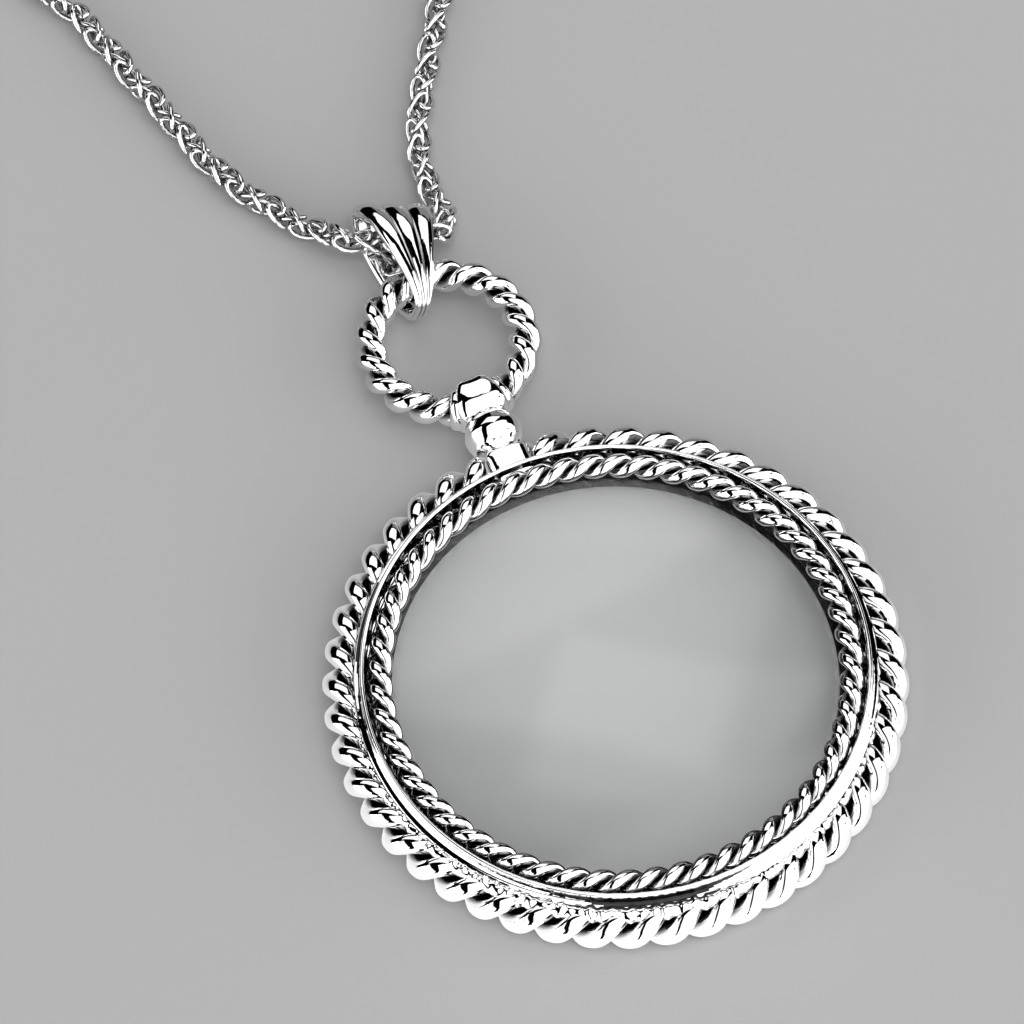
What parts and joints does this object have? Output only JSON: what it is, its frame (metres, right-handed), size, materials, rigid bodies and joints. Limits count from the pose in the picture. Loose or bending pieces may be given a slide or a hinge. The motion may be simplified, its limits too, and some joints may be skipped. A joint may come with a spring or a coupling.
{
  "type": "magnifier pendant necklace",
  "caption": "Round magnifying lens in a rope-edged metal frame, hung by a twisted ring and a fluted bail on a rope chain, laid flat.",
  "frame": {"origin": "centre of the lens, on the plane of the bezel's flat back, which is also the surface that the piece lies on", "axes": "+Z out of the front of the lens, +Y from the lens through the stem to the bow ring and the chain, +X to the right of that seen from the front"},
  "size_m": [0.1852, 0.3793, 0.0054],
  "materials": {
    "polished_metal": "bright polished silver-tone plate",
    "chain_metal": "bright silver-tone plate, slightly softer polish",
    "lens_glass": "clear polished glass"
  },
  "bodies": {
    "root": {"bezel": "polished_metal", "lens": "lens_glass", "outer_rope": "polished_metal", "inner_rope": "polished_metal", "bow_ring": "polished_metal", "bail": "polished_metal", "chain": "chain_metal", "clasp": "chain_metal"}
  },
  "joints": []
}
